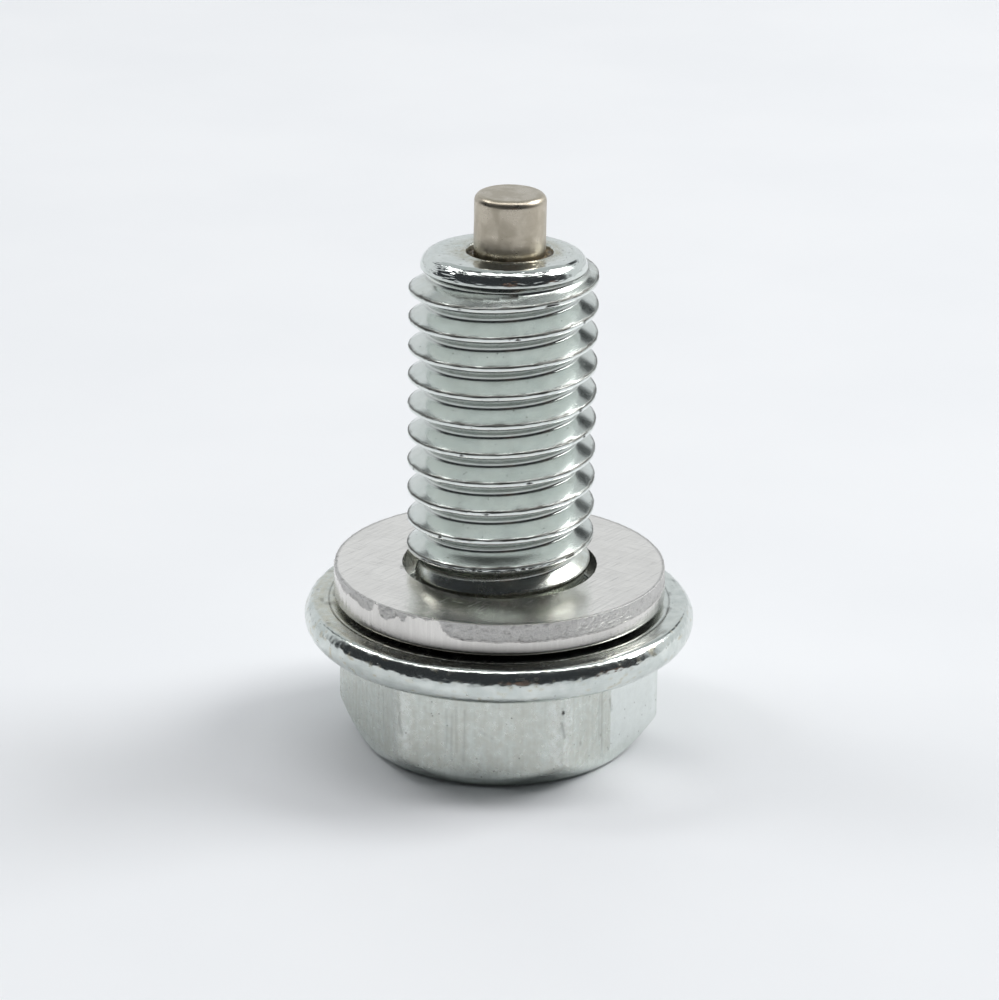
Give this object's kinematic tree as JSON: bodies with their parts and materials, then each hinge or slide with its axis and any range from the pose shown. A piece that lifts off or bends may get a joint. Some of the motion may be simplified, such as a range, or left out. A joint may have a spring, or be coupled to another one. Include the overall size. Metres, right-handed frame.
{
  "type": "oil drain plug",
  "caption": "Magnetic oil drain plug with a chamfered hexagon head, a round flange, a loose flat sealing washer, a right-hand rolled thread and a magnet set in the tip.",
  "frame": {"origin": "middle of the head's end face, on which the plug stands", "axes": "+Z runs along the shank from the head to the magnet; +X goes from the axis to the side on which the magnet's pocket was drilled"},
  "size_m": [0.0164, 0.0164, 0.024],
  "materials": {
    "zinc_plate": "bright zinc plate over rolled and cold-headed steel",
    "bare_aluminium": "brushed faces and a punched edge",
    "nickel_plate": "satin nickel plate"
  },
  "bodies": {
    "root": {"plug_body": "zinc_plate", "sealing_washer": "bare_aluminium", "magnet": "nickel_plate"}
  },
  "joints": []
}
